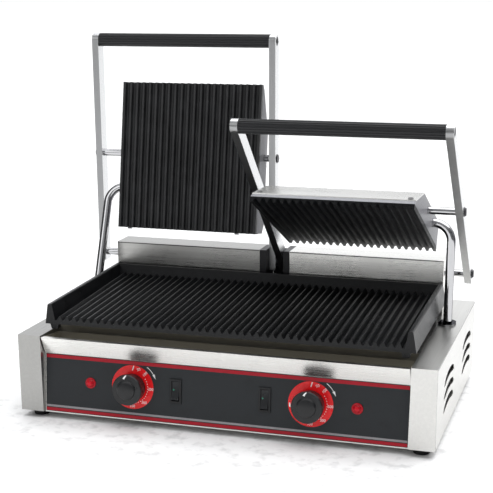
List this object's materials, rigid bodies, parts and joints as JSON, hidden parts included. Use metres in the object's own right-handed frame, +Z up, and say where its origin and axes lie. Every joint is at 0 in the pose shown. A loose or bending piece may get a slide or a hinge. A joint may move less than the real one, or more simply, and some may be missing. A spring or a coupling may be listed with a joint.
{
  "type": "double contact grill",
  "caption": "Electric contact grill: ribbed cast griddle in a stainless body under two separately hinged ribbed lids with fluted grips.",
  "frame": {"origin": "on the surface that the feet stand on, under the middle of the object's box", "axes": "+X to the right as the user stands at the controls, +Y to the rear, +Z up"},
  "size_m": [0.577, 0.388, 0.5028],
  "materials": {
    "stainless": "brushed",
    "charcoal_enamel": "satin printed overlay",
    "black_cast_iron": "black enamelled casting",
    "hammered_grey": "speckled hammer finish",
    "element_sheath": "dull heat-stained tube",
    "bracket_steel": "zinc plated",
    "bush_bronze": "sintered bronze",
    "spring_steel": "oil tempered",
    "brushed_alloy": "fine brushed along its length",
    "bright_chrome": "polished",
    "dark_nut": "blackened steel",
    "black_rubber": "matt moulded rubber",
    "black_nylon": "satin",
    "black_gloss": "glossy moulding",
    "black_bakelite": "semi-gloss thermoset",
    "dial_red": "printed disc",
    "lamp_red": "clear red lens"
  },
  "bodies": {
    "cabinet": {"base_pan": "stainless", "rear_panel": "stainless", "top_deck": "stainless", "control_panel": "stainless", "heat_shield": "stainless", "fascia_overlay": "charcoal_enamel", "dial_plates": "dial_red", "housing_end_caps": "black_nylon", "griddle_plate": "black_cast_iron", "griddle_elements": "element_sheath", "hinge_brackets": "bracket_steel", "hinge_bushes": "bush_bronze", "counterbalance_springs": "spring_steel", "feet": "black_rubber", "cable_gland": "black_nylon", "left_side_cover": "stainless", "left_indicator_lamp": "lamp_red", "left_switch_housing": "black_nylon", "left_thermostat": "bracket_steel", "left_hinge_housing": "stainless", "left_tube_ferrule": "bright_chrome", "right_side_cover": "stainless", "right_indicator_lamp": "lamp_red", "right_switch_housing": "black_nylon", "right_thermostat": "bracket_steel", "right_hinge_housing": "stainless", "right_tube_ferrule": "bright_chrome"},
    "tray": {"drip_tray": "stainless"},
    "left_rocker_body": {"left_rocker": "black_gloss"},
    "left_knob_body": {"left_knob": "black_bakelite", "left_spindle": "bracket_steel"},
    "left_arm_body": {"left_outer_arm": "brushed_alloy", "left_inner_arm": "brushed_alloy", "left_hinge_shaft": "bright_chrome", "left_plate_axle": "bright_chrome", "left_shaft_caps": "dark_nut", "left_grip": "black_bakelite", "left_grip_screws": "dark_nut"},
    "left_lid_body": {"left_upper_plate": "black_cast_iron", "left_upper_frame": "hammered_grey", "left_cover_screws": "bright_chrome", "left_upper_cover": "stainless", "left_upper_element": "element_sheath"},
    "left_tube_body": {"left_wire_tube": "bright_chrome"},
    "right_rocker_body": {"right_rocker": "black_gloss"},
    "right_knob_body": {"right_knob": "black_bakelite", "right_spindle": "bracket_steel"},
    "right_arm_body": {"right_outer_arm": "brushed_alloy", "right_inner_arm": "brushed_alloy", "right_hinge_shaft": "bright_chrome", "right_plate_axle": "bright_chrome", "right_shaft_caps": "dark_nut", "right_grip": "black_bakelite", "right_grip_screws": "dark_nut"},
    "right_lid_body": {"right_upper_plate": "black_cast_iron", "right_upper_frame": "hammered_grey", "right_cover_screws": "bright_chrome", "right_upper_cover": "stainless", "right_upper_element": "element_sheath"},
    "right_tube_body": {"right_wire_tube": "bright_chrome"}
  },
  "joints": [
    {"name": "tray_slide", "type": "slide", "parent": "cabinet", "child": "tray", "axis": [0, -1, 0], "range_m": [0, 0.14]},
    {"name": "left_rocker_tip", "type": "hinge", "parent": "cabinet", "child": "left_rocker_body", "pos_m": [-0.0614, -0.16383, 0.05429], "axis": [1, 0, 0], "range_deg": [0, 16]},
    {"name": "left_knob_turn", "type": "hinge", "parent": "cabinet", "child": "left_knob_body", "pos_m": [-0.1227, -0.16632, 0.05455], "axis": [0, 0.9945, -0.1045], "range_deg": [0, 300]},
    {"name": "left_arm_lift", "type": "hinge", "parent": "cabinet", "child": "left_arm_body", "pos_m": [-0.144, 0.1138, 0.1727], "axis": [-1, 0, 0], "range_deg": [-89.4, 2]},
    {"name": "left_lid_tilt", "type": "hinge", "parent": "left_arm_body", "child": "left_lid_body", "pos_m": [-0.1296, 0.11407, 0.3262], "axis": [-1, 0, 0], "range_deg": [-15.85, 2.8]},
    {"name": "left_tube_swing", "type": "hinge", "parent": "left_lid_body", "child": "left_tube_body", "pos_m": [-0.25, 0.102, 0.27656], "axis": [-1, 0, 0], "range_deg": [-2.23, 55.83]},
    {"name": "right_rocker_tip", "type": "hinge", "parent": "cabinet", "child": "right_rocker_body", "pos_m": [0.0614, -0.16383, 0.05429], "axis": [1, 0, 0], "range_deg": [0, 16]},
    {"name": "right_knob_turn", "type": "hinge", "parent": "cabinet", "child": "right_knob_body", "pos_m": [0.1227, -0.16632, 0.05455], "axis": [0, 0.9945, -0.1045], "range_deg": [0, 300]},
    {"name": "right_arm_lift", "type": "hinge", "parent": "cabinet", "child": "right_arm_body", "pos_m": [0.144, 0.1138, 0.1727], "axis": [-1, 0, 0], "range_deg": [-44.2, 30]},
    {"name": "right_lid_tilt", "type": "hinge", "parent": "right_arm_body", "child": "right_lid_body", "pos_m": [0.1296, 0.00507, 0.28105], "axis": [-1, 0, 0], "range_deg": [-13.19, 18.25]},
    {"name": "right_tube_swing", "type": "hinge", "parent": "right_lid_body", "child": "right_tube_body", "pos_m": [0.25, 0.04959, 0.256], "axis": [-1, 0, 0], "range_deg": [-1.22, 1.15]}
  ],
  "couplings": [
    {"joint": "left_lid_tilt", "follows": "left_arm_lift", "ratio": 0.1493},
    {"joint": "left_tube_swing", "follows": "left_arm_lift", "ratio": -0.6133},
    {"joint": "right_lid_tilt", "follows": "right_arm_lift", "ratio": -0.3563},
    {"joint": "right_tube_swing", "follows": "right_arm_lift", "ratio": 0.005}
  ]
}
